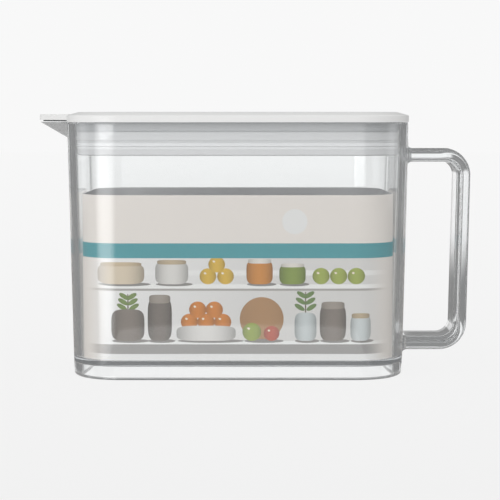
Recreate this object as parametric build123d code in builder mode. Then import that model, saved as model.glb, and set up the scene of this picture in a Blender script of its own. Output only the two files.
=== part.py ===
"""Fridge water pitcher: a low clear jug with a beak spout and a bonded loop handle, a lift-off
lid with a gasket, a spout cap that flips up, and a printed paper sleeve standing inside.

Millimetres. +Z is up, +X points to the handle and the spout is at -X. The origin is on the
surface that the jug stands on, under the middle of the whole pitcher.
"""
import os
from math import atan2, cos, radians, sin, tan

from build123d import *

# Jug, measured outside at the rim
jug_length = 158.0
jug_width = 90.0
jug_height = 117.4
jug_corner = 25.0
draft = 1.22  # lean of every wall, in degrees, so that the jug leaves its mould
wall = 3.5
rim_round = 0.6

# Floor and foot
foot_height = 6.3
floor_thickness = 2.2
foot_round = 1.8
floor_round = 1.0

# Beak spout
beak_reach = 15.0
beak_width = 35.0
beak_depth = 8.6
beak_wall = 2.5
beak_nose = 4.0

# Lid cover
lid_overhang = 0.2
lid_edge = 3.0
lid_bevel_rise = 1.5
lid_bevel_run = 5.5
lid_skin = 2.0
lid_band = 9.0
thumb_notch_width = 26.0
thumb_notch_height = 1.4
thumb_notch_depth = 2.2

# Lid plug
plug_flange_height = 3.9
plug_depth = 15.2
plug_wall = 2.2
plug_plate = 2.1
skirt_round = 0.8
plug_bead_height = 1.8
plug_bead_drop = 6.4
plug_bead_stand = 0.5
ridge_height = 2.0
ridge_width = 1.6
pour_window_width = 28.0
pour_window_sill = 0.7

# Gasket
gasket_height = 3.0
gasket_drop = 9.3
groove_depth = 1.0
lip_thickness = 0.5
lip_rise = 0.3

# Spout cap and its seal
cap_width = 34.0
cap_thickness = 2.6
cap_overhang = 0.2
cap_hinge_inset = 14.5
cap_edge_round = 0.5
peg_radius = 0.95
peg_length = 2.5
ear_thickness = 4.5
seal_thickness = 0.6
seal_margin = 1.2

# Handle
handle_overhang = 30.7
handle_thickness = 6.5
handle_width = 24.0
handle_top = 105.2
handle_bottom = 9.6
handle_outer_round = 12.9
handle_edge_round = 3.0
handle_root_round = 2.4
pad_width = 31.0
pad_thickness = 0.8
pad_top = 110.5
pad_bottom = 2.6
pad_corner = 4.0
pad_edge_round = 0.5

# Paper sleeve
card_height = 76.0
card_thickness = 0.5

# Clearances
lid_seat_gap = 0.1  # lid cover over the rim
flange_gap = 0.35  # plug's flange inside the mouth
skirt_gap = 1.2  # plug's skirt inside the mouth
ridge_gap = 0.2  # plug's ridge inside the cover's band
lip_gap = 0.3  # gasket's lip inside the wall
gasket_gap = 0.05  # gasket in its groove, above and below
seal_gap = 0.3  # seal over the beak's rim
cap_side_gap = 0.35  # cap between its two ears
cap_back_gap = 0.5  # cap's barrel before the back of its notch
peg_gap = 0.06  # running fit of a peg in its hole
peg_end_gap = 0.3  # peg's end before the bottom of its hole
card_gap = 1.0  # sleeve inside the wall, at the floor

# Places worked out from the sizes above
slope = tan(radians(draft))
spout_reach = jug_length / 2 + beak_reach + cap_overhang
handle_reach = jug_length / 2 + handle_overhang
jug_x = (spout_reach - handle_reach) / 2
floor_top = foot_height + floor_thickness
lid_seat = jug_height + lid_seat_gap
lid_length = jug_length + 2 * lid_overhang
lid_thickness = lid_edge + lid_bevel_rise
plug_bottom = lid_seat - plug_depth
plate_bottom = lid_seat - plug_plate
skirt_inset = wall + skirt_gap
bead_top = lid_seat - plug_bead_drop
gasket_top = lid_seat - gasket_drop
gasket_bottom = gasket_top - gasket_height
cap_underside = jug_height + seal_gap + seal_thickness
hinge_x = cap_hinge_inset - jug_length / 2
hinge_z = cap_underside + cap_thickness / 2
notch_back = hinge_x + cap_thickness / 2 + cap_back_gap
notch_width = cap_width + 2 * cap_side_gap
peg_hole_radius = peg_radius + peg_gap
beak_root = wall / 2 - jug_length / 2
beak_half_angle = atan2(beak_width / 2, beak_reach + wall / 2)


def level(height):
    """A level plane at this height, centred on the jug."""
    return Plane((jug_x, 0, height))


def lean(height):
    """How far a wall stands in from its place at the rim, at this height."""
    return (jug_height - height) * slope


def plan(inset, mode=Mode.ADD):
    """The jug's outline at the rim, moved in by this much."""
    corner = jug_corner - inset
    RectangleRounded(jug_length - 2 * inset, jug_width - 2 * inset, corner, mode=mode)


def wedge(tip_x, root_x, nose):
    """The beak's outline from above: two straight sides that meet in a round nose."""
    point_x = tip_x - nose * (1 / sin(beak_half_angle) - 1)
    half_width = (root_x - point_x) * tan(beak_half_angle)
    with BuildSketch(mode=Mode.PRIVATE) as outline:
        with BuildLine():
            Polyline((point_x, 0), (root_x, half_width), (root_x, -half_width), close=True)
        make_face()
        fillet(outline.vertices().sort_by(Axis.X)[0], nose)
    add(outline.sketch)


# The jug's long side seen from the front, and its end wall under the handle
side = Plane(origin=(jug_x, 0, 0), x_dir=(1, 0, 0), z_dir=(0, -1, 0))
end_wall = Plane(
    origin=(jug_x + jug_length / 2 - lean(0), 0, 0),
    x_dir=(0, 1, 0),
    z_dir=(cos(radians(draft)), 0, -sin(radians(draft))),
)

# Jug: drafted box, beak, hollow, channel through the rim, and the recess under the floor
beak_tip = -jug_length / 2 - beak_reach
keel_tip = -jug_length / 2 - lean(jug_height - beak_depth)
channel_tip = beak_tip + beak_wall / sin(beak_half_angle)
channel_nose = beak_nose - beak_wall

with BuildPart() as jug_body:
    with BuildSketch(level(0)):
        plan(lean(0))
    extrude(amount=jug_height, taper=-draft)
    with BuildSketch(level(floor_top)):
        plan(wall + lean(floor_top))
    extrude(amount=jug_height - floor_top, taper=-draft, mode=Mode.SUBTRACT)
    with BuildSketch(level(0)):
        plan(wall + lean(0))
    extrude(amount=foot_height, taper=draft, mode=Mode.SUBTRACT)
    foot_face = jug_body.faces().sort_by(Axis.Z)[0]
    fillet(foot_face.outer_wire().edges(), foot_round)
    floor_face = jug_body.faces().filter_by_position(Axis.Z, floor_top, floor_top)[0]
    fillet(floor_face.edges(), floor_round)
    rim_face = jug_body.faces().sort_by(Axis.Z)[-1]
    fillet(rim_face.edges(), rim_round)
    with BuildSketch(level(jug_height - beak_depth)):
        wedge(keel_tip, beak_root, beak_nose)
    with BuildSketch(level(jug_height)):
        wedge(beak_tip, beak_root, beak_nose)
    loft()
    with BuildSketch(level(jug_height - beak_depth + beak_wall)):
        wedge(keel_tip, beak_root + 2 * wall, channel_nose)
    with BuildSketch(level(jug_height)):
        wedge(channel_tip, beak_root + 2 * wall, channel_nose)
    loft(mode=Mode.SUBTRACT)
jug_body.part.label = "jug_body"

# Handle: a round-edged band led round a loop, cut off at the end wall, on a thin pad
band_inset = handle_thickness / 2
bar_x = handle_reach - band_inset
loop_top = handle_top - band_inset
loop_bottom = handle_bottom + band_inset
bar_bottom_x = bar_x - (loop_top - handle_outer_round - loop_bottom) * slope
arm_start_x = jug_length / 2 - wall

with BuildPart() as handle:
    with BuildLine(side) as loop:
        FilletPolyline(
            (arm_start_x, loop_top),
            (bar_x, loop_top),
            (bar_bottom_x, loop_bottom),
            (arm_start_x, loop_bottom),
            radius=handle_outer_round - band_inset,
        )
    with BuildSketch(Plane(loop.wire() @ 0, x_dir=(0, 1, 0), z_dir=loop.wire() % 0)):
        RectangleRounded(handle_width, handle_thickness, handle_edge_round)
    sweep(path=loop.wire())
    split(bisect_by=end_wall, keep=Keep.TOP)
    with BuildSketch(end_wall):
        with Locations((0, (pad_top + pad_bottom) / 2)):
            RectangleRounded(pad_width, pad_top - pad_bottom, pad_corner)
    extrude(amount=pad_thickness)
    pad_face = handle.faces().filter_by(end_wall).sort_by(Axis.X)[-1]
    fillet(pad_face.inner_wires().edges(), handle_root_round)
    pad_face = handle.faces().filter_by(end_wall).sort_by(Axis.X)[-1]
    fillet(pad_face.outer_wire().edges(), pad_edge_round)
handle.part.label = "handle"

# Lid cover: a bevelled plate, hollow underneath, notched for the spout cap between two ears
ear_edge = notch_width / 2 + ear_thickness
ear_back = notch_back + ear_thickness


def from_spout_end(back, width, mode=Mode.ADD):
    """A strip as seen from above, from past the spout end of the lid to this far back."""
    with Locations((back, 0)):
        Rectangle(lid_length, width, align=(Align.MAX, Align.CENTER), mode=mode)


with BuildPart() as lid_cover:
    with BuildSketch(level(lid_seat)):
        plan(-lid_overhang)
    extrude(amount=lid_thickness)
    top_face = lid_cover.faces().sort_by(Axis.Z)[-1]
    chamfer(top_face.edges(), lid_bevel_run, lid_bevel_rise, reference=top_face)
    with BuildSketch(level(lid_seat)):
        plan(lid_band)
        from_spout_end(ear_back, 2 * ear_edge, mode=Mode.SUBTRACT)
    extrude(amount=lid_thickness - lid_skin, mode=Mode.SUBTRACT)
    with BuildSketch(level(lid_seat)):
        from_spout_end(notch_back, notch_width)
    extrude(amount=lid_thickness, mode=Mode.SUBTRACT)
    with BuildSketch(side):
        with Locations((hinge_x, hinge_z)):
            Circle(peg_hole_radius)
    extrude(amount=cap_width / 2 + peg_length + peg_end_gap, both=True, mode=Mode.SUBTRACT)
    with BuildSketch(level(lid_seat)):
        with Locations((jug_length / 2 + lid_overhang, 0)):
            Rectangle(2 * thumb_notch_depth, thumb_notch_width)
    extrude(amount=thumb_notch_height, mode=Mode.SUBTRACT)
lid_cover.part.label = "lid_cover"

# Lid plug: flange, skirt and locating ridge, hollow from below, with a groove and a pour window
ridge_inset = lid_band + ridge_gap
groove_inset = skirt_inset + groove_depth

with BuildPart() as lid_plug:
    with BuildSketch(level(lid_seat)):
        plan(wall + flange_gap)
    extrude(amount=-plug_flange_height)
    with BuildSketch(level(lid_seat)):
        plan(skirt_inset)
    extrude(amount=-plug_depth)
    with BuildSketch(level(bead_top)):
        plan(skirt_inset - plug_bead_stand)
    extrude(amount=-plug_bead_height)
    with BuildSketch(level(lid_seat)):
        plan(ridge_inset)
        plan(ridge_inset + ridge_width, mode=Mode.SUBTRACT)
        from_spout_end(ear_back + ridge_gap, 2 * (ear_edge + ridge_gap), mode=Mode.SUBTRACT)
    extrude(amount=ridge_height)
    with BuildSketch(level(plug_bottom)):
        plan(skirt_inset + plug_wall)
    extrude(amount=plate_bottom - plug_bottom, mode=Mode.SUBTRACT)
    with BuildSketch(level(gasket_bottom - gasket_gap)):
        plan(wall)
        plan(groove_inset, mode=Mode.SUBTRACT)
    extrude(amount=gasket_height + 2 * gasket_gap, mode=Mode.SUBTRACT)
    with BuildSketch(level(plate_bottom)):
        with Locations((-jug_length / 2, 0)):
            Rectangle(2 * (skirt_inset + 2 * plug_wall), pour_window_width)
    extrude(amount=gasket_top + pour_window_sill - plate_bottom, mode=Mode.SUBTRACT)
    skirt_edge = lid_plug.faces().sort_by(Axis.Z)[0].outer_wire()
    fillet(skirt_edge.edges(), skirt_round)
lid_plug.part.label = "lid_plug"

# Gasket: a band with one thin lip, led round the floor of the plug's groove
lip_height = gasket_bottom + gasket_height / 2
lip_root = groove_depth + gasket_gap
lip_reach = groove_depth + skirt_gap - lean(lip_height) - lip_gap
with BuildSketch(level(gasket_bottom)) as groove_floor:
    plan(groove_inset)
groove_line = groove_floor.sketch.wire()
along = groove_line % 0

with BuildPart() as lid_gasket:
    with BuildSketch(Plane(groove_line @ 0, x_dir=along.cross(Vector(0, 0, 1)), z_dir=-along)):
        with BuildLine():
            Polyline(
                (0, 0),
                (lip_root, 0),
                (lip_root, (gasket_height - lip_thickness) / 2),
                (lip_reach, (gasket_height - lip_thickness) / 2 + lip_rise),
                (lip_reach, gasket_height / 2 + lip_rise),
                (lip_root, (gasket_height + lip_thickness) / 2),
                (lip_root, gasket_height),
                (0, gasket_height),
                close=True,
            )
        make_face()
    sweep(path=groove_line)
lid_gasket.part.label = "lid_gasket"

# Spout cap: a flat tongue shaped like the beak, with a barrel and two pegs at its back
cap_tip = beak_tip - cap_overhang

with BuildPart() as spout_cap:
    with BuildSketch(level(cap_underside)):
        wedge(cap_tip, hinge_x, beak_nose)
        Rectangle(2 * spout_reach, cap_width, mode=Mode.INTERSECT)
    extrude(amount=cap_thickness)
    top_face = spout_cap.faces().sort_by(Axis.Z)[-1]
    fillet(top_face.edges().sort_by(Axis.X)[:-1], cap_edge_round)
    with BuildSketch(side):
        with Locations((hinge_x, hinge_z)):
            Circle(cap_thickness / 2)
    extrude(amount=cap_width / 2, both=True)
    with BuildSketch(side):
        with Locations((hinge_x, hinge_z)):
            Circle(peg_radius)
    extrude(amount=cap_width / 2 + peg_length, both=True)
spout_cap.part.label = "spout_cap"

# Seal: a thin pad under the cap that covers the beak and the notch in the rim
seal_root = wall - jug_length / 2
seal_tip = cap_tip + seal_margin / sin(beak_half_angle)

with BuildPart() as spout_cap_seal:
    with BuildSketch(level(cap_underside)):
        wedge(seal_tip, seal_root, beak_nose - seal_margin)
        Rectangle(2 * spout_reach, cap_width - 2 * seal_margin, mode=Mode.INTERSECT)
    extrude(amount=-seal_thickness)
spout_cap_seal.part.label = "spout_cap_seal"

# Paper sleeve: it stands on the floor and follows the inside of the wall
card_inset = wall + lean(floor_top) + card_gap

with BuildPart() as insert_card:
    with BuildSketch(level(floor_top)):
        plan(card_inset)
        plan(card_inset + card_thickness, mode=Mode.SUBTRACT)
    extrude(amount=card_height)
insert_card.part.label = "insert_card"

pieces = [
    jug_body,
    handle,
    lid_cover,
    lid_plug,
    lid_gasket,
    spout_cap,
    spout_cap_seal,
    insert_card,
]

os.makedirs("parts", exist_ok=True)
for piece in pieces:
    export_step(piece.part, "parts/" + piece.part.label + ".step")
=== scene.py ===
"""Looks of a fridge water pitcher: a clear jug with a loop handle, a white lid with a flip-up spout
cap, milky seals and a printed paper sleeve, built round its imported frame."""

from math import atan2, cos, radians, sin, tan

import bmesh
import bpy
from bpy.props import FloatProperty, IntProperty, PointerProperty, StringProperty
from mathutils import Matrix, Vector


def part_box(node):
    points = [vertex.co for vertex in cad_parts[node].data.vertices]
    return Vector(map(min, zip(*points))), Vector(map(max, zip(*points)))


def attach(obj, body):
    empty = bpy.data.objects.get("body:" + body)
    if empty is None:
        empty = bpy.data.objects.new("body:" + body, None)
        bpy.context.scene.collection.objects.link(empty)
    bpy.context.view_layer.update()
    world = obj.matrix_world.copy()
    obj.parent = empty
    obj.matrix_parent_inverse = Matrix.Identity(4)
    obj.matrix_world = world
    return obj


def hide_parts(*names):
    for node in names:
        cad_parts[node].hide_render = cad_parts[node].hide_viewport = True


bl_info = {
    "name": "Fridge water pitcher",
    "version": (1, 0, 0),
    "blender": (4, 5, 0),
    "location": "3D View > Sidebar > Pitcher",
    "description": "Models and finishes a clear fridge pitcher round its frame",
    "category": "Add Mesh",
}

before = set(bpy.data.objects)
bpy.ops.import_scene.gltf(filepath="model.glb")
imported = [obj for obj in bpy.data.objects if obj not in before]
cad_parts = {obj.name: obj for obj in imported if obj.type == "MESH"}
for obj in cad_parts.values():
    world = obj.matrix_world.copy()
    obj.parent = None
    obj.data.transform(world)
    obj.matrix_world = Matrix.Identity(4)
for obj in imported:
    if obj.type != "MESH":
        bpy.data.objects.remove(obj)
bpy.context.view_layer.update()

MM = 0.001
jug_low, jug_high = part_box("jug_body")
handle_low, handle_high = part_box("handle")
card_low, card_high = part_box("insert_card")
RIM = jug_high.z
JUG_RIGHT = jug_high.x
BEAK_TIP = jug_low.x
cover_low, cover_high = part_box("lid_cover")
cap_low, cap_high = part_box("spout_cap")

CLOSE = 0.01 * MM  # places less than this apart count as one

# Sleeve's print: heights stand on the surface under the jug, the rest is from the sleeve's middle
STRIPE_FOOT, STRIPE_TOP = 55.8 * MM, 62.6 * MM
DISC_ACROSS, DISC_HEIGHT, DISC_RADIUS = 26 * MM, 72.5 * MM, 5.7 * MM
FADE_START, FADE_END = 58 * MM, 69 * MM
THROUGH_SLEEVE = 1000.0  # so large a scale along Y that a printed shape is the same on both sides

BLAST_GRAIN = 0.5 * MM  # of a blasted tool: really finer, drawn as coarse as it needs to show
BOARD_FIBRE = 0.8 * MM  # really finer too

# How often light may bend or turn back in the resin before it goes straight through
BEAK_BENDS, WALL_BENDS = 1.5, 4.5

KEY_PLACE, KEY_SIZE = (-0.65, -1.0, 0.42), 0.8
FILL_PLACE, FILL_SIZE = (0.9, -0.5, 0.7), 0.6
LAMP_TARGET = Vector((0, 0, 60 * MM))

STRIP_WAY = Vector((KEY_PLACE[0], KEY_PLACE[1], 0)).normalized()
STRIP_SPREAD = radians(26)
STRIP_BENDS = 3.5  # light that has bent more often than this doesn't come from the strip

# How far the white screens reach: dark beyond the first angle, white within the second
SCREENS_BESIDE = radians(16), radians(10)
SCREENS_BEHIND = radians(24), radians(16)
SCREENS_UP_THROUGH_RESIN = radians(4), radians(1.5)
SCREENS_UP_MIRRORED = radians(5.8), radians(3.8)

# The floor is matt when seen more steeply than the first angle, and glossy below the second
FLOOR_GLANCING = radians(13), radians(9.5)
FLOOR_THROUGH_RESIN = 0.75  # share of the floor's paleness that is left when it is seen through resin
# Painted light: within this patch round the jug the floor glows at a glancing angle instead of mirroring
# the room
BRIGHT_LENGTH, BRIGHT_WIDTH = 82 * MM, 180 * MM  # half the size of the brighter floor round the jug


def length(name, description, millimetres):
    """A size that a user may change, given in millimetres and held in metres."""
    return FloatProperty(
        name=name,
        description=description,
        default=millimetres * MM,
        min=0,
        soft_max=1,
        precision=4,
        unit="LENGTH",
    )


def share(name, description, value, top=1.0):
    """A plain number from nought to top."""
    return FloatProperty(name=name, description=description, default=value, min=0, max=top)


def hex_colour(name, description, value):
    """A colour written as sRGB hex."""
    return StringProperty(name=name, description=description, default=value, maxlen=7)


class PitcherShape(bpy.types.PropertyGroup):
    """Sizes of the moulded pieces that the frame's boxes don't give."""

    jug_length: length("Jug length", "Outside of the jug at its rim, along the handle", 158)
    jug_corner: length("Jug corner", "Radius of the jug's corners at the rim", 25)
    wall: length("Wall", "Thickness of the jug's wall", 3.5)
    draft: FloatProperty(
        name="Draft", description="Lean of the walls", default=radians(1.22), unit="ROTATION"
    )
    rim_round: length("Rim round", "Fillet on both edges of the rim", 0.6)
    foot_height: length("Foot height", "Depth of the recess under the floor", 6.3)
    floor_thickness: length("Floor", "Thickness of the jug's floor", 2.2)
    foot_round: length("Foot round", "Fillet round the outside of the foot", 1.8)
    floor_round: length("Floor round", "Fillet where the inside of the wall meets the floor", 1.0)
    mould_round: length("Mould round", "Smallest fillet that the mould leaves", 0.35)
    corner_steps: IntProperty(
        name="Corner steps", description="Faces round a corner", default=24, min=4, max=64
    )
    round_steps: IntProperty(
        name="Round steps", description="Faces round a fillet", default=6, min=2, max=24
    )
    beak_width: length("Beak width", "Width of the beak at the wall", 35)
    beak_depth: length("Beak depth", "Height of the beak at the wall", 8.6)
    beak_wall: length("Beak wall", "Thickness of the beak", 2.5)
    beak_nose: length("Beak nose", "Radius of the beak's tip", 4)
    band_thickness: length("Handle thickness", "Thickness of the handle's band", 6.5)
    band_width: length("Handle width", "Width of the handle's band", 24)
    band_round: length("Handle edge", "Radius of the band's edges", 3)
    loop_top: length("Loop top", "Top of the handle's upper arm", 105.2)
    loop_bottom: length("Loop bottom", "Underside of the handle's lower arm", 9.6)
    loop_round: length("Loop round", "Outer radius of the handle's two bends", 12.9)
    root_round: length("Root round", "Fillet where an arm meets its pad", 2.4)
    pad_width: length("Pad width", "Width of the pad behind the handle", 31)
    pad_thickness: length("Pad thickness", "Thickness of that pad", 0.8)
    pad_corner: length("Pad corner", "Radius of the pad's corners", 4)
    pad_edge: length("Pad edge", "Fillet round the pad's face", 0.5)
    handle_overhang: length("Handle overhang", "How far the handle stands out past the rim", 30.7)
    bond_gap: length("Bond gap", "Air between the pad and the wall, so that neither cuts the other", 0.02)
    card_corner: length("Sleeve corner", "Radius of the sleeve's corners", 18.2)
    card_thickness: length("Sleeve thickness", "Thickness of the sleeve's board", 0.5)
    lid_overhang: length("Lid overhang", "How far the lid stands out past the rim", 0.2)
    lid_edge: length("Lid edge", "Height of the lid's upright edge", 3)
    lid_bevel: length("Lid bevel", "Width of the bevel round the lid's top", 5.5)
    lid_band: length("Lid band", "Width of the solid band round the lid's underside", 9)
    lid_skin: length("Lid skin", "Thickness of the lid's top", 2)
    lid_soft: length("Lid rounding", "Fillet on the lid's edges", 0.45)
    ear: length("Ear", "Thickness of the two ears that hold the spout cap", 4.5)
    thumb_width: length("Thumb notch width", "Width of the notch under the lid's rear edge", 26)
    thumb_height: length("Thumb notch height", "Height of that notch", 1.4)
    thumb_depth: length("Thumb notch depth", "Depth of that notch", 2.2)
    cap_width: length("Cap width", "Width of the spout cap", 34)
    cap_soft: length("Cap rounding", "Fillet on the spout cap's upper edges", 0.5)
    hinge_inset: length("Hinge inset", "From the lid's spout end to the cap's hinge", 14.5)
    side_gap: length("Cap side gap", "Gap between the cap and each ear", 0.35)
    back_gap: length("Cap back gap", "Gap between the cap's barrel and the lid", 0.5)
    peg_radius: length("Peg radius", "Radius of the cap's two pegs", 0.95)
    peg_length: length("Peg length", "How far each peg stands out", 2.5)
    peg_gap: length("Peg gap", "Gap round each peg in its hole", 0.06)
    peg_end_gap: length("Peg end gap", "Gap at the end of each peg", 0.3)


class PitcherFinish(bpy.types.PropertyGroup):
    """Colours of the finishes, as sRGB hex. Some are painted shade, as marked."""

    clear: hex_colour("Clear resin", "Tint of the clear resin's surface", "#fbfcfc")
    clear_depth: hex_colour("Clear resin depth", "Tint that a long way through the resin takes", "#c4cace")
    white: hex_colour("White plastic", "Lid and spout cap", "#f3f3f2")
    # Painted shade: the plug is white plastic drawn pale grey for the shade inside the jug, and its flange
    # darker for the shade close under the lid
    plug: hex_colour("Plug plastic", "Skirt of the lid's plug", "#dfe0e1")
    flange: hex_colour("Plug flange", "Flange of the plug, close under the lid", "#bfc1c3")
    gasket: hex_colour("Gasket", "Milky silicone of the gasket", "#f0f1f2")
    seal: hex_colour("Spout seal", "Pale silicone of the seal under the spout cap", "#eceded")
    # Painted shade: the seal's upright edge is drawn dark grey for the shade in the seam
    seal_edge_painted_shade: hex_colour("Spout seal's edge", "The same silicone down in the seam", "#5d6062")
    cream: hex_colour("Sleeve band", "Upper band of the sleeve's print", "#f6efe8")
    teal: hex_colour("Sleeve stripe", "Stripe across the sleeve", "#46a0a9")
    board: hex_colour("Sleeve board", "Unprinted inside of the sleeve", "#f1f1f2")


class PitcherStage(bpy.types.PropertyGroup):
    """The camera and the light."""

    camera_offset: length("Camera offset", "How far the camera stands right of the jug's middle", 5.67)
    camera_distance: length("Camera distance", "From the camera to the jug's middle", 788.8)
    camera_height: length("Camera height", "Height of the camera", 123.07)
    camera_tilt: FloatProperty(
        name="Camera tilt", description="How far it looks down", default=radians(4.846), unit="ROTATION"
    )
    lens: FloatProperty(name="Lens", description="Focal length in millimetres", default=119.1)
    key_power: share("Key light", "Power of the large soft light at the left, in watts", 5.1, 1000)
    fill_power: share("Fill light", "Power of the soft light at the right, in watts", 1.0, 1000)
    room_light: share("Room light", "Level of the light from all sides", 0.72, 10)
    surround: share("Surround", "Level of the room between the white screens", 0.26)
    screens: share("Screens", "Level of the white screens", 1.08, 10)
    strip: share("Strip light", "Level of the soft strip that the left corner mirrors", 5.2, 100)
    backdrop: share("Backdrop", "Level of the far wall and of the floor at a glancing angle", 0.94)


def deselect_all():
    """Leaves edit mode, and nothing selected, so that an operator acts on the new piece alone."""
    if bpy.context.mode != "OBJECT":
        bpy.ops.object.mode_set(mode="OBJECT")
    bpy.ops.object.select_all(action="DESELECT")


def block(name, low, high):
    """Adds a box between two corners, with its place in its mesh, and enters edit mode."""
    deselect_all()
    low, high = Vector(low), Vector(high)
    bpy.ops.mesh.primitive_cube_add(size=1, location=(low + high) / 2, scale=high - low)
    piece = bpy.context.object
    piece.name = piece.data.name = name
    bpy.ops.object.transform_apply(location=True, rotation=True, scale=True)
    bpy.ops.object.mode_set(mode="EDIT")
    return piece


def pick(kind, test):
    """In edit mode, selects the faces or edges whose middle and direction pass the test."""
    bpy.ops.mesh.select_mode(type=kind)
    bpy.ops.mesh.select_all(action="DESELECT")
    mesh = bmesh.from_edit_mesh(bpy.context.edit_object.data)
    if kind == "FACE":
        for face in mesh.faces:
            face.select_set(test(face.calc_center_median(), face.normal))
    else:
        for edge in mesh.edges:
            start, end = (vertex.co for vertex in edge.verts)
            edge.select_set(test((start + end) / 2, (end - start).normalized()))
    bmesh.update_edit_mesh(bpy.context.edit_object.data)


def upright(middle, direction):
    """Whether an edge stands upright."""
    return abs(direction.z) > 0.9


def lengthwise(middle, direction):
    """Whether an edge lies along X."""
    return abs(direction.x) > 0.9


def faces_up(middle, normal):
    """Whether a face looks up."""
    return normal.z > 0.9


def faces_down(middle, normal):
    """Whether a face looks down."""
    return normal.z < -0.9


def faces_spout(middle, normal):
    """Whether a face looks towards the spout end."""
    return normal.x < -0.9


def round_edges(radius, steps, test):
    """Rounds the edges that pass the test."""
    pick("EDGE", test)
    bpy.ops.mesh.bevel(offset=radius, offset_type="OFFSET", segments=steps, profile=0.5, affect="EDGES")


def step_in(path):
    """Insets the selected face again and again; path gives how far in and along from its start."""
    inset, rise = 0.0, 0.0
    for new_inset, new_rise in path:
        bpy.ops.mesh.inset(thickness=new_inset - inset, depth=new_rise - rise)
        inset, rise = new_inset, new_rise


def quarter(steps):
    """Angles of a quarter turn, in equal steps."""
    for step in range(1, steps + 1):
        yield radians(90 * step / steps)


def turn(inset, rise, run, climb, from_level, steps):
    """Points of a quarter round from here to run further in and climb further along."""
    for angle in quarter(steps):
        across, along = (sin(angle), 1 - cos(angle)) if from_level else (1 - cos(angle), sin(angle))
        yield inset + run * across, rise + climb * along


def combine(piece, other, operation):
    """Joins other to piece, or cuts it away, and removes it."""
    deselect_all()
    piece.select_set(True)
    bpy.context.view_layer.objects.active = piece
    bpy.ops.object.modifier_add(type="BOOLEAN")
    cut = piece.modifiers[-1]
    cut.operation = operation
    cut.solver = "EXACT"
    cut.object = other
    bpy.ops.object.modifier_apply(modifier=cut.name)
    bpy.data.objects.remove(other)


def rod(name, radius, across, middle):
    """A round rod that lies along Y."""
    deselect_all()
    bpy.ops.mesh.primitive_cylinder_add(
        vertices=48, radius=radius, depth=across, location=middle, rotation=(radians(90), 0, 0)
    )
    piece = bpy.context.object
    piece.name = piece.data.name = name
    bpy.ops.object.transform_apply(location=True, rotation=True, scale=True)
    return piece


def polish(piece, sharp_angle):
    """Shades the piece smooth up to an angle, with the large flat faces kept flat."""
    deselect_all()
    piece.select_set(True)
    bpy.context.view_layer.objects.active = piece
    bpy.ops.object.shade_smooth_by_angle(angle=radians(sharp_angle))
    bpy.ops.object.modifier_add(type="WEIGHTED_NORMAL")
    weighted = piece.modifiers[-1]
    weighted.keep_sharp = True
    weighted.weight = 100
    bpy.ops.object.modifier_apply(modifier=weighted.name)


def coat(piece, *materials):
    """Gives a piece its materials, by name, in place of any that it has."""
    piece.data.materials.clear()
    for name in materials:
        piece.data.materials.append(bpy.data.materials[name])


def place(piece, body, slot_name, *nodes):
    """Puts a finished piece on its body and in the place of its nodes. Its slot name is not used."""
    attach(piece, body)
    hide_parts(*nodes)


def linear(colour, light=1):
    """An sRGB hex colour as linear RGBA, with a share of its light kept."""
    values = [int(colour[at:at + 2], 16) / 255 for at in (1, 3, 5)]
    return [light * (v / 12.92 if v <= 0.04045 else ((v + 0.055) / 1.055) ** 2.4) for v in values] + [1]


def new_material(name):
    """A node material without any nodes yet."""
    material = bpy.data.materials.new(name)
    material.use_nodes = True
    material.node_tree.nodes.clear()
    return material


def add_node(owner, kind, inputs=None, **settings):
    """Adds a shader node with its settings. An input gets a constant, or a link from a socket or
    from another node's first output in use."""
    node = owner.node_tree.nodes.new("ShaderNode" + kind)
    for name, value in settings.items():
        setattr(node, name, value)
    for name, value in (inputs or {}).items():
        if isinstance(value, bpy.types.Node):
            value = next(socket for socket in value.outputs if socket.enabled)
        if isinstance(value, bpy.types.NodeSocket):
            owner.node_tree.links.new(value, node.inputs[name])
        else:
            node.inputs[name].default_value = value
    return node


def clouded(owner, where, colour, light, size, detail=2.0):
    """A colour that drifts to a share of its light and back, in patches of about a size."""
    cloud = add_node(owner, "TexNoise", {"Vector": where, "Scale": 1 / size, "Detail": detail})
    tones = {"Factor": cloud, "A": linear(colour), "B": linear(colour, light)}
    return add_node(owner, "Mix", tones, data_type="RGBA")


def grained(owner, where, size, detail, strength, depth):
    """A bump of grain of about a size, which roughens the surface a little."""
    grain = add_node(owner, "TexNoise", {"Vector": where, "Scale": 1 / size, "Detail": detail})
    return add_node(owner, "Bump", {"Strength": strength, "Distance": depth, "Height": grain})


def clear_resin(finish):
    """SAN, injection moulded and polished: bright faces with a faint haze, and grey edges where the
    eye looks through the length of a wall. Lamps and room light pass it to light what it holds, and
    light that has gone to and fro inside a thick edge leaks out of it, sooner in the thin beak."""
    material = new_material("san_moulded_clear")
    gloss = {
        "Base Color": linear(finish.clear),
        "Roughness": 0.012,
        "IOR": 1.57,
        "Transmission Weight": 0.965,
    }
    shader = add_node(material, "BsdfPrincipled", gloss)
    passing = add_node(material, "BsdfTransparent", {"Color": (0.98, 0.98, 0.98, 1)})
    path = add_node(material, "LightPath").outputs
    lights = {0: path["Is Shadow Ray"], 1: path["Is Diffuse Ray"]}
    lit = add_node(material, "Math", lights, operation="MAXIMUM")
    shape = bpy.context.scene.pitcher_shape
    beak_root = jug_middle(shape) - shape.jug_length / 2
    where = add_node(material, "TexCoord").outputs["Object"]
    step = {
        "Value": add_node(material, "SeparateXYZ", {0: where}).outputs["X"],
        "From Min": beak_root - 0.5 * MM,
        "From Max": beak_root,
        "To Min": BEAK_BENDS,
        "To Max": WALL_BENDS,
    }
    bends = add_node(material, "MapRange", step)
    leaks = add_node(material, "Math", {0: path["Ray Depth"], 1: bends}, operation="GREATER_THAN")
    passes = add_node(material, "Math", {0: lit, 1: leaks}, operation="MAXIMUM")
    mixed = add_node(material, "MixShader", {0: passes, 1: shader, 2: passing})
    depth = add_node(material, "VolumeAbsorption", {"Color": linear(finish.clear_depth), "Density": 9.0})
    add_node(material, "OutputMaterial", {"Surface": mixed, "Volume": depth})
    return material


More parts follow.
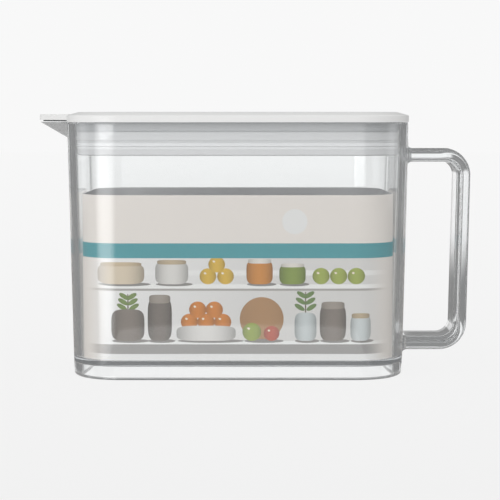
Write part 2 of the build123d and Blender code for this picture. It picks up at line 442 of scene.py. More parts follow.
def satin_white(finish):
    """White polypropylene, moulded in a finely blasted tool: even, softly shining, a little uneven
    in its tone where the melt met the wall of the tool."""
    material = new_material("polypropylene_moulded_white")
    where = add_node(material, "TexCoord").outputs["Object"]
    satin = {
        "Base Color": clouded(material, where, finish.white, light=0.975, size=18 * MM),
        "Roughness": 0.34,
        "IOR": 1.49,
        "Normal": grained(material, where, BLAST_GRAIN, detail=1.0, strength=0.05, depth=0.03 * MM),
    }
    shader = add_node(material, "BsdfPrincipled", satin)
    add_node(material, "OutputMaterial", {"Surface": shader})
    return material


def white_in_painted_shade(finish):
    """White polypropylene, moulded: matt, drawn pale grey as painted shade for its place down inside
    the jug. Its flange is darker still, more painted shade, because it fills the gap between the wall
    and the lid and hardly any light gets in there."""
    material = new_material("polypropylene_moulded_white_in_painted_shade")
    where = add_node(material, "TexCoord").outputs["Object"]
    # Painted shade: from this height up the plug takes the flange's darker colour, for the shade close
    # under the lid
    rise = {
        "Value": add_node(material, "SeparateXYZ", {0: where}).outputs["Z"],
        "From Min": RIM - 5.0 * MM,
        "From Max": RIM - 3.6 * MM,
    }
    flange = add_node(material, "MapRange", rise, interpolation_type="SMOOTHSTEP")
    tones = {"Factor": flange, "A": linear(finish.plug), "B": linear(finish.flange)}
    matt = {
        "Base Color": add_node(material, "Mix", tones, data_type="RGBA"),
        "Roughness": 0.45,
        "IOR": 1.49,
        "Normal": grained(material, where, BLAST_GRAIN, detail=1.0, strength=0.05, depth=0.03 * MM),
    }
    shader = add_node(material, "BsdfPrincipled", matt)
    add_node(material, "OutputMaterial", {"Surface": shader})
    return material


def silicone(name, colour, edge):
    """Silicone, compression moulded: matt and soft, clouded where its thickness changes. Its upright
    edge can be drawn in a darker colour, painted shade for an edge down in a seam, where hardly any
    light gets to it."""
    material = new_material(name)
    where = add_node(material, "TexCoord").outputs
    # Painted shade: faces that stand upright take the edge colour, drawn for a seam's shade
    height = add_node(material, "SeparateXYZ", {0: where["Normal"]}).outputs["Z"]
    flat = add_node(material, "Math", {0: height}, operation="ABSOLUTE")
    clear_of_painted_shade = add_node(material, "MapRange", {"Value": flat, "From Min": 0.3, "From Max": 0.7})
    tones = {
        "Factor": clear_of_painted_shade,
        "A": linear(edge),
        "B": clouded(material, where["Object"], colour, light=0.95, size=6 * MM),
    }
    tint = add_node(material, "Mix", tones, data_type="RGBA")
    shader = add_node(material, "BsdfPrincipled", {"Base Color": tint, "Roughness": 0.5, "IOR": 1.41})
    add_node(material, "OutputMaterial", {"Surface": shader})
    return material


def plain_board(finish):
    """Folding boxboard, uncoated inside: grey-white, matt, with faint fibres."""
    material = new_material("boxboard_uncoated")
    where = add_node(material, "TexCoord").outputs["Object"]
    tone = clouded(material, where, finish.board, light=0.9, size=BOARD_FIBRE, detail=3.0)
    shader = add_node(material, "BsdfPrincipled", {"Base Color": tone, "Roughness": 0.85})
    add_node(material, "OutputMaterial", {"Surface": shader})
    return material


def jar(colour, across, foot, width, height, lid=None):
    """Shapes of a printed jar: its shadow, its body, and a lid if it has one."""
    yield "#8f8b87", across + width * 0.08, foot, width * 0.56, 0.9, 0, False, 0
    yield colour, across, foot + height / 2, width / 2, height / 2, 0, True, 0.55
    if lid:
        yield lid, across, foot + height * 0.96, width * 0.44, height * 0.1, 0, True, 0.4


def fruit(colour, across, foot, width):
    """Shapes of a printed fruit: a round body with a small light."""
    yield colour, across, foot + width * 0.48, width / 2, width * 0.48, 0, False, 0.45
    yield "#fdf3df", across - width * 0.17, foot + width * 0.66, width * 0.08, width * 0.06, 20, False, 0


def sprig(colour, across, foot, height):
    """Shapes of a printed sprig: a stem with paired leaves."""
    yield "#6f6a4e", across, foot + height / 2, 0.3, height / 2, 0, True, 0
    for pair in range(3):
        for side in (-1, 1):
            rise = foot + height * (0.45 + 0.22 * pair)
            yield colour, across + side * (2.7 - 0.5 * pair), rise, 2.6, 1.05, -32 * side, False, 0.2


def still_life():
    """The sleeve's picture, from the back forwards: two shelves with jars, bowls, fruit and leaves.
    Each shape is a colour, a place from the picture's middle and the sleeve's foot, half a width,
    half a height, a turn, whether it is squarish, and how much its sides darken. Lengths are in
    millimetres, and upper and lower are the tops of the two shelves."""
    upper, lower = 35.4, 9.4
    yield "#f9f8f6", 0, 40.6, 90, 1.2, 0, True, 0
    yield "#b4b0ac", 0, 33.0, 90, 0.6, 0, True, 0
    yield "#fefdfb", 0, 34.4, 90, 1.0, 0, True, 0
    yield "#a5a2a0", 1, 5.6, 90, 2.3, 0, True, 0
    yield "#fefefd", 0, 8.6, 90, 0.8, 0, True, 0
    yield "#fefefd", 0, 1.5, 90, 1.9, 0, True, 0
    yield from jar("#e6d6bd", -53, upper, 21, 9.5, "#d7c2a2")
    yield from jar("#e9e6e1", -30, upper, 15, 10.5, "#c8b596")
    for across, rise in ((-13.5, 0), (-5.5, 0), (-9.5, 5.4)):
        yield from fruit("#e5bb3e", across, upper + rise, 7.6)
    yield from jar("#d98f35", 10, upper, 12, 11, "#efe9df")
    yield from jar("#8a9f43", 25, upper, 12, 9, "#efe9df")
    for across in (38, 46, 54):
        yield from fruit("#a9b653", across, upper, 7.8)
    yield from sprig("#7d9450", -50, 20, 11)
    yield from jar("#8b8178", -50, lower, 15, 14.5)
    yield from jar("#7e756d", -35.5, lower, 11, 20, "#a79d92")
    for across, rise in ((-22, 5), (-14.4, 5), (-6.8, 5), (-18.2, 10.6), (-10.6, 10.6)):
        yield from fruit("#df8a33", across, lower + rise, 7.8)
    yield from jar("#edeae6", -14.4, lower, 27, 7)
    yield "#b88d60", 11, 19.5, 10, 10, 0, False, 0.15
    yield "#8f8b87", 12, lower, 9, 0.9, 0, False, 0
    yield from fruit("#9fb04a", 6.5, lower, 8.6)
    yield from fruit("#c4573a", 15.5, lower, 7.2)
    yield from sprig("#6f8c4c", 31, 19, 13)
    yield from jar("#d5dcdc", 31, lower, 10, 13)
    yield from jar("#8b8178", 43.5, lower, 12, 17, "#a79d92")
    yield from jar("#dfe5e5", 56, lower, 9, 12, "#c8b596")


def printed_board(finish):
    """Folding boxboard, offset printed and matt varnished: a cream band with a plain disc, a teal
    stripe, and a still life below, which fades out before the sleeve's corners."""
    material = new_material("boxboard_printed")
    where = add_node(material, "TexCoord").outputs["Object"]
    place_of = add_node(material, "SeparateXYZ", {0: where}).outputs
    middle = (card_low.x + card_high.x) / 2
    run = {"Value": place_of["X"], "From Min": middle - 70 * MM, "From Max": middle + 20 * MM}
    wall = {"Factor": add_node(material, "MapRange", run), "A": linear("#fdfcfb"), "B": linear("#e6e4e1")}
    picture = add_node(material, "Mix", wall, data_type="RGBA")  # the wall behind the shelves
    for colour, across, rise, half_width, half_height, turned, squarish, shade in still_life():
        spot = {
            "Vector": where,
            "Location": (middle + across * MM, 0, card_low.z + rise * MM),
            "Rotation": (0, radians(turned), 0),
            "Scale": (half_width * MM, THROUGH_SLEEVE, half_height * MM),
        }
        local = add_node(material, "Mapping", spot, vector_type="TEXTURE")
        squared = add_node(material, "VectorMath", {0: local, 1: local}, operation="MULTIPLY")
        rounded = squared if squarish else local
        outline = add_node(material, "VectorMath", {0: rounded}, operation="LENGTH")
        inside = add_node(material, "Math", {0: outline, 1: 1.0}, operation="LESS_THAN")
        side = add_node(material, "SeparateXYZ", {0: squared}).outputs["X"]
        inks = {"Factor": side, "A": linear(colour), "B": linear(colour, 1 - shade)}
        ink = add_node(material, "Mix", inks, data_type="RGBA")
        picture = add_node(material, "Mix", {"Factor": inside, "A": picture, "B": ink}, data_type="RGBA")
    from_middle = add_node(material, "Math", {0: place_of["X"], 1: middle}, operation="SUBTRACT")
    aside = add_node(material, "Math", {0: from_middle}, operation="ABSOLUTE")
    ends = {"Value": aside, "From Min": FADE_START, "From Max": FADE_END}
    layers = [(add_node(material, "MapRange", ends, interpolation_type="SMOOTHSTEP"), finish.cream)]
    for level, colour in ((STRIPE_FOOT, finish.teal), (STRIPE_TOP, finish.cream)):
        above = add_node(material, "Math", {0: place_of["Z"], 1: level}, operation="GREATER_THAN")
        layers.append((above, colour))
    spot = {
        "Vector": where,
        "Location": (middle + DISC_ACROSS, 0, DISC_HEIGHT),
        "Scale": (DISC_RADIUS, THROUGH_SLEEVE, DISC_RADIUS),
    }
    disc = add_node(material, "Mapping", spot, vector_type="TEXTURE")
    outline = add_node(material, "VectorMath", {0: disc}, operation="LENGTH")
    layers.append((add_node(material, "Math", {0: outline, 1: 1.0}, operation="LESS_THAN"), "#f7f6f4"))
    for mask, colour in layers:
        over = {"Factor": mask, "A": picture, "B": linear(colour)}
        picture = add_node(material, "Mix", over, data_type="RGBA")
    varnish = {
        "Base Color": picture,
        "Roughness": 0.55,
        "Normal": grained(material, where, BOARD_FIBRE, detail=3.0, strength=0.1, depth=0.05 * MM),
    }
    shader = add_node(material, "BsdfPrincipled", varnish)
    add_node(material, "OutputMaterial", {"Surface": shader})
    return material


def jug_middle(shape):
    """Where the middle of the jug's box stands, along X."""
    return JUG_RIGHT - shape.jug_length / 2


def cap_hinge(shape):
    """Where the spout cap's hinge line runs: its place along X and its height."""
    return cover_low.x + shape.lid_overhang + shape.hinge_inset, (cap_low.z + cap_high.z) / 2


def beak_half_angle(shape):
    """Half the angle between the beak's two sides, seen from above."""
    wall_x = jug_middle(shape) - shape.jug_length / 2 + shape.wall / 2
    return atan2(shape.beak_width / 2, wall_x - BEAK_TIP)


def wedge(name, shape, tip, keel_tip, root, nose, low, high):
    """A solid with the beak's outline, whose nose runs from keel_tip at low to tip at high. It is
    left in edit mode."""
    half_angle = beak_half_angle(shape)
    sharp = nose * (1 / sin(half_angle) - 1)
    reach_high = root - tip + sharp
    reach_low = root - keel_tip + sharp
    half_width = reach_high * tan(half_angle)
    piece = block(name, (root - reach_high, -half_width, low), (root, half_width, high))
    pick("FACE", faces_spout)
    bpy.ops.transform.resize(value=(1, 0, 1))
    bpy.ops.mesh.select_all(action="SELECT")
    bpy.ops.mesh.remove_doubles(threshold=CLOSE)
    pick("FACE", faces_down)
    bpy.ops.transform.resize(
        value=(reach_low / reach_high, reach_low / reach_high, 1), center_override=(root, 0, low)
    )
    keel = Vector((tip - keel_tip, 0, high - low))
    side = Vector((cos(half_angle), sin(half_angle), 0))
    round_edges(
        nose / tan(half_angle) * sin(keel.angle(side)),
        shape.round_steps * 2,
        lambda middle, direction: abs(direction.z) > 0.2 and abs(middle.y) < MM,
    )
    bpy.ops.mesh.select_all(action="SELECT")
    bpy.ops.mesh.normals_make_consistent(inside=False)
    return piece


class PITCHER_OT_jug(bpy.types.Operator):
    """Models the clear jug with its beak, raised floor and foot in place of its node"""

    bl_idname = "pitcher.jug"
    bl_label = "Jug"

    def execute(self, context):
        shape = context.scene.pitcher_shape
        steps, edge_steps = shape.round_steps, 3
        slope = tan(shape.draft)
        middle = jug_middle(shape)
        half_length, half_width = shape.jug_length / 2, jug_high.y
        rim, foot, edge = shape.rim_round, shape.foot_round, shape.mould_round
        floor_top = shape.foot_height + shape.floor_thickness
        collar = 1 * MM  # height of the first ring, just below the rim's fillet
        top, bottom = RIM - rim, RIM - rim - collar
        spout_end, handle_end = middle - half_length, middle + half_length
        piece = block("clear_jug", (spout_end, -half_width, bottom), (handle_end, half_width, top))
        round_edges(shape.jug_corner, shape.corner_steps, upright)
        pick("FACE", faces_up)
        foot_of_wall = shape.wall + (RIM - floor_top - shape.floor_round) * slope
        down = top - floor_top - shape.floor_round
        step_in([
            *turn(0, 0, rim, rim, False, steps),
            (shape.wall - rim, rim),
            *turn(shape.wall - rim, rim, rim, -rim, True, steps),
            (foot_of_wall, -down),
            *turn(foot_of_wall, -down, shape.floor_round, -shape.floor_round, False, steps),
        ])
        pick("FACE", faces_down)
        outer = (RIM - foot) * slope
        inner = shape.wall + RIM * slope
        inner_top = inner + (shape.foot_height - edge) * slope
        ceiling = bottom - shape.foot_height
        step_in([
            (outer, bottom - foot),
            *turn(outer, bottom - foot, foot, foot, False, steps),
            (inner - edge, bottom),
            *turn(inner - edge, bottom, edge, -edge, True, edge_steps),
            (inner_top, ceiling + edge),
            *turn(inner_top, ceiling + edge, edge, -edge, False, edge_steps),
        ])
        wall_x = spout_end + shape.wall / 2
        keel = RIM - shape.beak_depth
        keel_tip = spout_end - shape.beak_depth * slope
        beak = wedge("beak", shape, BEAK_TIP, keel_tip, wall_x, shape.beak_nose, keel, RIM)
        combine(piece, beak, "UNION")
        channel_tip = BEAK_TIP + shape.beak_wall / sin(beak_half_angle(shape))
        over = 1 * MM  # how far the cut reaches above the rim
        rise = shape.beak_depth - shape.beak_wall
        channel = wedge(
            "channel",
            shape,
            channel_tip + (channel_tip - keel_tip) * over / rise,
            keel_tip,
            wall_x + 2 * shape.wall,
            shape.beak_nose - shape.beak_wall,
            keel + shape.beak_wall,
            RIM + over,
        )
        combine(piece, channel, "DIFFERENCE")
        polish(piece, sharp_angle=40)
        coat(piece, "san_moulded_clear")
        place(piece, "jug", "clear_plastic", "jug_body")
        return {"FINISHED"}


class PITCHER_OT_handle(bpy.types.Operator):
    """Models the clear loop handle and its pad in place of their node"""

    bl_idname = "pitcher.handle"
    bl_label = "Handle"
    bend_steps = 20
    edge_steps = 8

    def execute(self, context):
        shape = context.scene.pitcher_shape
        half_band, half_width = shape.band_thickness / 2, shape.band_width / 2
        slope = tan(shape.draft)
        wall_foot = JUG_RIGHT - RIM * slope
        bar_x = JUG_RIGHT + shape.handle_overhang - half_band
        top, bottom = shape.loop_top - half_band, shape.loop_bottom + half_band
        bend = shape.loop_round - half_band
        bar_foot = bar_x - (top - bend - bottom - half_band) * slope
        pad_face = wall_foot + top * slope + shape.pad_thickness
        upper_turn = radians(90) + shape.draft
        lower_turn = radians(90) - shape.draft
        bend_start = bar_x - bend * tan(upper_turn / 2)
        piece = block(
            "loop_handle",
            (pad_face + shape.root_round, -half_width, top - half_band),
            (bend_start, half_width, top + half_band),
        )
        round_edges(shape.band_round, self.edge_steps, lengthwise)
        pick("FACE", faces_spout)
        self.flare(shape, Vector((pad_face, 0, top)), Vector((-1, 0, 0)))
        pick("FACE", lambda middle, normal: middle.x > bend_start - CLOSE)
        bpy.ops.mesh.spin(
            steps=self.bend_steps, angle=-upper_turn, center=(bend_start, 0, top - bend), axis=(0, 1, 0)
        )
        straight = Vector((bar_foot - bar_x, 0, bottom - top))
        run = straight.length - bend * (tan(upper_turn / 2) + tan(lower_turn / 2))
        down = straight.normalized()
        bpy.ops.mesh.extrude_region_move(TRANSFORM_OT_translate={"value": down * run})
        corner = Vector((bar_foot, 0, bottom))
        bend_top = corner - down * bend * tan(lower_turn / 2)
        inward = Vector((-cos(shape.draft), 0, sin(shape.draft)))
        bpy.ops.mesh.spin(
            steps=self.bend_steps, angle=-lower_turn, center=bend_top + inward * bend, axis=(0, 1, 0)
        )
        lower_start = bar_foot - bend * tan(lower_turn / 2)
        lower_face = wall_foot + bottom * slope + shape.pad_thickness
        bpy.ops.mesh.extrude_region_move(
            TRANSFORM_OT_translate={"value": (lower_face + shape.root_round - lower_start, 0, 0)}
        )
        self.flare(shape, Vector((lower_face, 0, bottom)), Vector((-1, 0, 0)))
        bpy.ops.mesh.select_all(action="SELECT")
        bpy.ops.mesh.remove_doubles(threshold=CLOSE / 2)
        bpy.ops.mesh.normals_make_consistent(inside=False)
        combine(piece, self.pad(shape, wall_foot), "UNION")
        polish(piece, sharp_angle=40)
        coat(piece, "san_moulded_clear")
        place(piece, "jug", "clear_plastic", "handle")
        return {"FINISHED"}

    @staticmethod
    def flare(shape, root, outward):
        """Widens the selected end face towards the pad, as the fillet at an arm's root does."""
        half_band, half_width, radius = shape.band_thickness / 2, shape.band_width / 2, shape.root_round
        wide, high, gone = half_width, half_band, 0.0
        for angle in quarter(shape.round_steps):
            outset, along = radius * (1 - cos(angle)), radius * sin(angle)
            bpy.ops.mesh.extrude_region_move(
                TRANSFORM_OT_translate={"value": outward * (along - gone)}
            )
            bpy.ops.transform.resize(
                value=(1, (half_width + outset) / wide, (half_band + outset) / high),
                center_override=root - outward * (radius - along),
            )
            wide, high, gone = half_width + outset, half_band + outset, along
        bpy.ops.mesh.extrude_region_move(
            TRANSFORM_OT_translate={"value": outward * shape.pad_thickness / 2}
        )

    def pad(self, shape, wall_foot):
        """The thin pad that lies on the end wall."""
        low_x = wall_foot + shape.bond_gap
        face_x = low_x + shape.pad_thickness - shape.bond_gap
        half_width = shape.pad_width / 2
        piece = block("pad", (low_x, -half_width, handle_low.z), (face_x, half_width, handle_high.z))
        round_edges(shape.pad_corner, self.edge_steps, lengthwise)
        round_edges(shape.pad_edge, steps=3, test=lambda middle, direction: middle.x > face_x - CLOSE)
        bpy.ops.object.mode_set(mode="OBJECT")
        slope = tan(shape.draft)
        for vertex in piece.data.vertices:
            vertex.co.x += vertex.co.z * slope
        return piece


class PITCHER_OT_lid(bpy.types.Operator):
    """Models the white lid in place of its node, and finishes its plug"""

    bl_idname = "pitcher.lid"
    bl_label = "Lid"

    def execute(self, context):
        shape = context.scene.pitcher_shape
        seat, soft = cover_low.z, shape.lid_soft
        edge_top = seat + shape.lid_edge
        piece = block("bevelled_lid", cover_low, (cover_high.x, cover_high.y, edge_top))
        round_edges(shape.jug_corner + shape.lid_overhang, shape.corner_steps, upright)
        pick("FACE", faces_down)
        band = shape.lid_band + shape.lid_overhang
        hollow = cover_high.z - seat - shape.lid_skin
        step_in([(band, 0), (band + shape.mould_round, -hollow)])
        pick("FACE", lambda middle, normal: faces_up(middle, normal) and middle.z > edge_top - CLOSE)
        step_in([(shape.lid_bevel, cover_high.z - edge_top)])
        round_edges(
            soft,
            steps=3,
            test=lambda middle, direction: abs(direction.z) < 0.1 and middle.z > edge_top - CLOSE,
        )
        hinge_x, hinge_z = cap_hinge(shape)
        notch_back = hinge_x + (cap_high.z - cap_low.z) / 2 + shape.back_gap
        notch_half = shape.cap_width / 2 + shape.side_gap
        over = 5 * MM  # how far each cutter reaches past the lid
        ears = block(
            "ears",
            (cover_low.x + shape.thumb_depth, -notch_half - shape.ear, seat),
            (notch_back + shape.ear, notch_half + shape.ear, seat + hollow + shape.mould_round),
        )
        combine(piece, ears, "UNION")
        notch = block(
            "notch",
            (cover_low.x - over, -notch_half, seat - over),
            (notch_back, notch_half, cover_high.z + over),
        )
        round_edges(
            soft, steps=4, test=lambda middle, direction: upright(middle, direction) and middle.x > hinge_x
        )
        combine(piece, notch, "DIFFERENCE")
        hole_length = shape.cap_width + 2 * (shape.peg_length + shape.peg_end_gap)
        hole = rod("peg_holes", shape.peg_radius + shape.peg_gap, hole_length, (hinge_x, 0, hinge_z))
        combine(piece, hole, "DIFFERENCE")
        thumb = block(
            "thumb_notch",
            (cover_high.x - shape.thumb_depth, -shape.thumb_width / 2, seat - over),
            (cover_high.x + over, shape.thumb_width / 2, seat + shape.thumb_height),
        )
        round_edges(
            shape.thumb_depth / 2,
            shape.round_steps,
            lambda middle, direction: upright(middle, direction) and middle.x < cover_high.x,
        )
        combine(piece, thumb, "DIFFERENCE")
        polish(piece, sharp_angle=25)
        coat(piece, "polypropylene_moulded_white")
        place(piece, "lid", "white_plastic", "lid_cover")
        # The plug gets the white plastic drawn in painted shade
        coat(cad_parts["lid_plug"], "polypropylene_moulded_white_in_painted_shade")
        return {"FINISHED"}


class PITCHER_OT_cap(bpy.types.Operator):
    """Models the spout cap with its barrel and pegs in place of its node"""

    bl_idname = "pitcher.cap"
    bl_label = "Spout cap"

    def execute(self, context):
        shape = context.scene.pitcher_shape
        hinge_x, hinge_z = cap_hinge(shape)
        hinge = Vector((hinge_x, 0, hinge_z))
        half_width = shape.cap_width / 2
        piece = wedge(
            "spout_tongue", shape, cap_low.x, cap_low.x, hinge.x, shape.beak_nose, cap_low.z, cap_high.z
        )
        for side in (-1, 1):
            bpy.ops.mesh.select_all(action="SELECT")
            bpy.ops.mesh.bisect(
                plane_co=(0, side * half_width, 0), plane_no=(0, side, 0), clear_outer=True, use_fill=True
            )
        round_edges(
            shape.cap_soft,
            steps=4,
            test=lambda middle, direction: middle.z > cap_high.z - CLOSE and middle.x < hinge.x - CLOSE,
        )
        barrel = rod("barrel", (cap_high.z - cap_low.z) / 2, shape.cap_width, hinge)
        combine(piece, barrel, "UNION")
        pegs = rod("pegs", shape.peg_radius, shape.cap_width + 2 * shape.peg_length, hinge)
        combine(piece, pegs, "UNION")
        polish(piece, sharp_angle=30)
        coat(piece, "polypropylene_moulded_white")
        place(piece, "spout_flap", "white_plastic", "spout_cap")
        return {"FINISHED"}


class PITCHER_OT_seals(bpy.types.Operator):
    """Finishes the gasket and the spout cap's seal"""

    bl_idname = "pitcher.seals"
    bl_label = "Seals"

    def execute(self, context):
        materials = {"lid_gasket": "silicone_moulded_milky", "spout_cap_seal": "silicone_moulded_pale_painted_shade"}
        for name, material in materials.items():
            coat(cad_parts[name], material)
        return {"FINISHED"}


class PITCHER_OT_sleeve(bpy.types.Operator):
    """Models the printed paper sleeve in place of its node"""

    bl_idname = "pitcher.sleeve"
    bl_label = "Paper sleeve"

    def execute(self, context):
        shape = context.scene.pitcher_shape
        piece = block("paper_sleeve", card_low, card_high)
        round_edges(shape.card_corner, shape.corner_steps, upright)
        pick("FACE", lambda middle, normal: abs(normal.z) > 0.9)
        bpy.ops.mesh.delete(type="FACE")
        bpy.ops.object.mode_set(mode="OBJECT")
        coat(piece, "boxboard_printed", "boxboard_uncoated")
        bpy.ops.object.modifier_add(type="SOLIDIFY")
        board = piece.modifiers[-1]
        board.thickness = shape.card_thickness
        board.offset = -1
        board.material_offset = board.material_offset_rim = 1
        bpy.ops.object.modifier_apply(modifier=board.name)
        polish(piece, sharp_angle=30)
        place(piece, "jug", "printed_paper", "insert_card")
        return {"FINISHED"}


class PITCHER_OT_stage(bpy.types.Operator):
    """Sets the floor, the soft lights, the room and the camera"""

    bl_idname = "pitcher.stage"
    bl_label = "Stage"

    def execute(self, context):
        stage = context.scene.pitcher_stage
        deselect_all()
        bpy.ops.mesh.primitive_plane_add(size=8)
        floor = context.object
        floor.name = "floor"
        middle = jug_middle(context.scene.pitcher_shape)
        floor.data.materials.append(self.floor_paint(stage, middle))
        self.room(stage)
        self.lamp("key", stage.key_power, KEY_PLACE, KEY_SIZE)
        self.lamp("fill", stage.fill_power, FILL_PLACE, FILL_SIZE)
        camera = bpy.data.cameras.new("camera")
        camera.lens = stage.lens
        holder = bpy.data.objects.new("camera", camera)
        context.scene.collection.objects.link(holder)
        holder.location = (middle + stage.camera_offset, -stage.camera_distance, stage.camera_height)
        holder.rotation_euler = (radians(90) - stage.camera_tilt, 0, 0)
        context.scene.camera = holder
        context.scene.view_settings.view_transform = "Standard"
        return {"FINISHED"}

    @staticmethod
    def lamp(name, power, place_at, size):
        """A large soft light that faces the pitcher. What shines doesn't mirror it, but the room's
        strip."""
        light = bpy.data.lights.new(name, "AREA")
        light.energy, light.size = power, size
        holder = bpy.data.objects.new(name, light)
        bpy.context.scene.collection.objects.link(holder)
        holder.location = place_at
        holder.visible_glossy = False
        holder.rotation_euler = (LAMP_TARGET - Vector(place_at)).to_track_quat("-Z", "Y").to_euler()

    @staticmethod
    def floor_paint(stage, middle):
        """Satin pale paint, rolled. It takes the shadow, and to the eye it is nearly white. At a
        glancing angle it mirrors the room, but close round the jug it glows as bright as the backdrop,
        painted light in place of that reflection, and from above it is nearly as pale through the resin
        as beside it."""
        material = new_material("floor_painted_pale")
        where = add_node(material, "TexCoord").outputs["Object"]
        grain = clouded(material, where, "#c6c6c6", light=0.9664, size=3 * MM)
        paint = add_node(material, "BsdfDiffuse", {"Color": grain})
        glow = add_node(material, "Emission", {"Color": linear("#ffffff"), "Strength": stage.backdrop})
        level = stage.backdrop
        mirror = add_node(material, "BsdfGlossy", {"Color": (level, level, level, 1), "Roughness": 0.02})
        path = add_node(material, "LightPath").outputs
        facing = add_node(material, "LayerWeight", {"Blend": 0.5}).outputs["Facing"]
        steep, flat = FLOOR_GLANCING
        angles = {"Value": facing, "From Min": 1 - sin(steep), "From Max": 1 - sin(flat)}
        glancing = add_node(material, "MapRange", angles, interpolation_type="SMOOTHSTEP")
        spot = {
            "Vector": where,
            "Location": (middle, 0, 0),
            "Scale": (BRIGHT_LENGTH, BRIGHT_WIDTH, 1),
        }
        underneath = add_node(material, "Mapping", spot, vector_type="TEXTURE")
        corner = add_node(material, "VectorMath", {0: underneath, 1: underneath}, operation="MULTIPLY")
        spread = add_node(material, "VectorMath", {0: corner}, operation="LENGTH")
        rim = {"Value": spread, "From Min": 1.2, "From Max": 1.0}
        near = add_node(material, "MapRange", rim, interpolation_type="SMOOTHSTEP")
        # Painted light: close round the jug the floor glows in place of the mirror
        gloss = add_node(material, "MixShader", {0: near, 1: mirror, 2: glow})
        bent = {0: path["Is Glossy Ray"], 1: path["Is Transmission Ray"]}
        shiny = add_node(material, "Math", bent, operation="MAXIMUM")
        sheen = add_node(material, "Math", {0: shiny, 1: glancing}, operation="MULTIPLY")
        satin = add_node(material, "MixShader", {0: sheen, 1: paint, 2: gloss})
        facings = {"Value": facing, "From Min": 0.3, "From Max": 1.0, "To Min": 0.6, "To Max": 1.0}
        pale = add_node(material, "MapRange", facings)
        for_eye = add_node(material, "Math", {0: path["Is Camera Ray"], 1: pale}, operation="MULTIPLY")
        from_above = add_node(material, "Math", {0: 1.0, 1: glancing}, operation="SUBTRACT")
        through_resin = path["Is Transmission Ray"]
        for factor in (FLOOR_THROUGH_RESIN, from_above, pale):
            dimmed = {0: through_resin, 1: factor}
            through_resin = add_node(material, "Math", dimmed, operation="MULTIPLY")
        whole = add_node(material, "Math", {0: for_eye, 1: through_resin}, operation="MAXIMUM")
        mixed = add_node(material, "MixShader", {0: whole, 1: satin, 2: glow})
        add_node(material, "OutputMaterial", {"Surface": mixed})
        return material

    @staticmethod
    def room(stage):
        """A plain room: white to the eye. What shines sees white screens on four sides and, as long
        as the light has not bent often, a soft bright strip where the key light stands."""
        world = bpy.data.worlds.new("room")
        bpy.context.scene.world = world
        world.use_nodes = True
        world.node_tree.nodes.clear()
        path = add_node(world, "LightPath").outputs
        outward = add_node(world, "TexCoord").outputs["Generated"]
        way = add_node(world, "SeparateXYZ", {0: outward}).outputs
        screens = []
        for axis, (dark, white) in (("X", SCREENS_BESIDE), ("Y", SCREENS_BEHIND)):
            along = add_node(world, "Math", {0: way[axis]}, operation="ABSOLUTE")
            edge = {"Value": along, "From Min": cos(dark), "From Max": cos(white)}
            screens.append(add_node(world, "MapRange", edge, interpolation_type="SMOOTHSTEP"))
        sideways = add_node(world, "Math", {0: screens[0], 1: screens[1]}, operation="MAXIMUM")
        upward = add_node(world, "Math", {0: way["Z"]}, operation="ABSOLUTE")
        tops = {"Factor": path["Is Transmission Ray"]}
        for name, (dark, white) in (("A", SCREENS_UP_MIRRORED), ("B", SCREENS_UP_THROUGH_RESIN)):
            edge = {"Value": upward, "From Min": sin(dark), "From Max": sin(white)}
            tops[name] = add_node(world, "MapRange", edge, interpolation_type="SMOOTHSTEP")
        low = add_node(world, "Mix", tops, data_type="FLOAT")
        screen = add_node(world, "Math", {0: sideways, 1: low}, operation="MULTIPLY")
        levels = {"Value": screen, "To Min": stage.surround, "To Max": stage.screens}
        level = add_node(world, "MapRange", levels)
        toward = add_node(world, "VectorMath", {0: outward, 1: STRIP_WAY}, operation="DOT_PRODUCT")
        edge = {"Value": toward, "From Min": cos(STRIP_SPREAD), "From Max": 1.0}
        strip = add_node(world, "MapRange", edge, interpolation_type="SMOOTHSTEP")
        early = add_node(world, "Math", {0: path["Ray Depth"], 1: STRIP_BENDS}, operation="LESS_THAN")
        for factor in (path["Is Glossy Ray"], early):
            strip = add_node(world, "Math", {0: strip, 1: factor}, operation="MULTIPLY")
        bent = {0: path["Is Glossy Ray"], 1: path["Is Transmission Ray"]}
        shiny = add_node(world, "Math", bent, operation="MAXIMUM")
        lit = {"Factor": strip, "A": level, "B": stage.strip}
        level = add_node(world, "Mix", lit, data_type="FLOAT")
        shown = {"Factor": shiny, "A": stage.room_light, "B": level}
        level = add_node(world, "Mix", shown, data_type="FLOAT")
        seen = {"Factor": path["Is Camera Ray"], "A": level, "B": stage.backdrop}
        level = add_node(world, "Mix", seen, data_type="FLOAT")
        paint = {"Color": linear("#ffffff"), "Strength": level}
        add_node(world, "OutputWorld", {"Surface": add_node(world, "Background", paint)})


OPERATORS = (
    PITCHER_OT_jug,
    PITCHER_OT_handle,
    PITCHER_OT_lid,
    PITCHER_OT_cap,
    PITCHER_OT_seals,
    PITCHER_OT_sleeve,
    PITCHER_OT_stage,
)


class PITCHER_PT_tools(bpy.types.Panel):
    """Lists the pitcher's pieces in the 3D view's sidebar"""

    bl_idname = "PITCHER_PT_tools"
    bl_label = "Fridge water pitcher"
    bl_space_type = "VIEW_3D"
    bl_region_type = "UI"
    bl_category = "Pitcher"

    def draw(self, context):
        for operator in OPERATORS:
            self.layout.operator(operator.bl_idname)
        for group in ("pitcher_shape", "pitcher_finish", "pitcher_stage"):
            values = getattr(context.scene, group)
            box = self.layout.box()
            for name in values.__annotations__:
                box.prop(values, name)


GROUPS = {
    "pitcher_shape": PitcherShape,
    "pitcher_finish": PitcherFinish,
    "pitcher_stage": PitcherStage,
}
CLASSES = (*GROUPS.values(), *OPERATORS, PITCHER_PT_tools)


def register():
    for cls in CLASSES:
        bpy.utils.register_class(cls)
    for name, group in GROUPS.items():
        setattr(bpy.types.Scene, name, PointerProperty(type=group))


def unregister():
    for name in GROUPS:
        delattr(bpy.types.Scene, name)
    for cls in reversed(CLASSES):
        bpy.utils.unregister_class(cls)


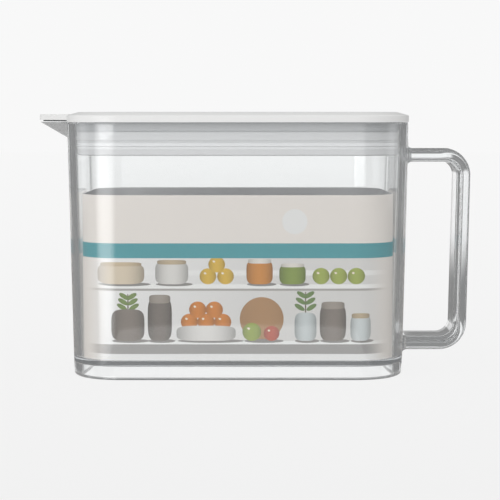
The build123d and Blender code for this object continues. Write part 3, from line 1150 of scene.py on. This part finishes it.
def main():
    register()
    finish = bpy.context.scene.pitcher_finish
    for paint in (clear_resin, satin_white, white_in_painted_shade, plain_board, printed_board):
        paint(finish)
    silicone("silicone_moulded_milky", finish.gasket, finish.gasket)
    # The spout seal's edge is drawn dark: painted shade for the seam
    silicone("silicone_moulded_pale_painted_shade", finish.seal, finish.seal_edge_painted_shade)
    bpy.ops.pitcher.jug()
    bpy.ops.pitcher.handle()
    bpy.ops.pitcher.lid()
    bpy.ops.pitcher.cap()
    bpy.ops.pitcher.seals()
    bpy.ops.pitcher.sleeve()
    bpy.ops.pitcher.stage()


if __name__ == "__main__":
    main()
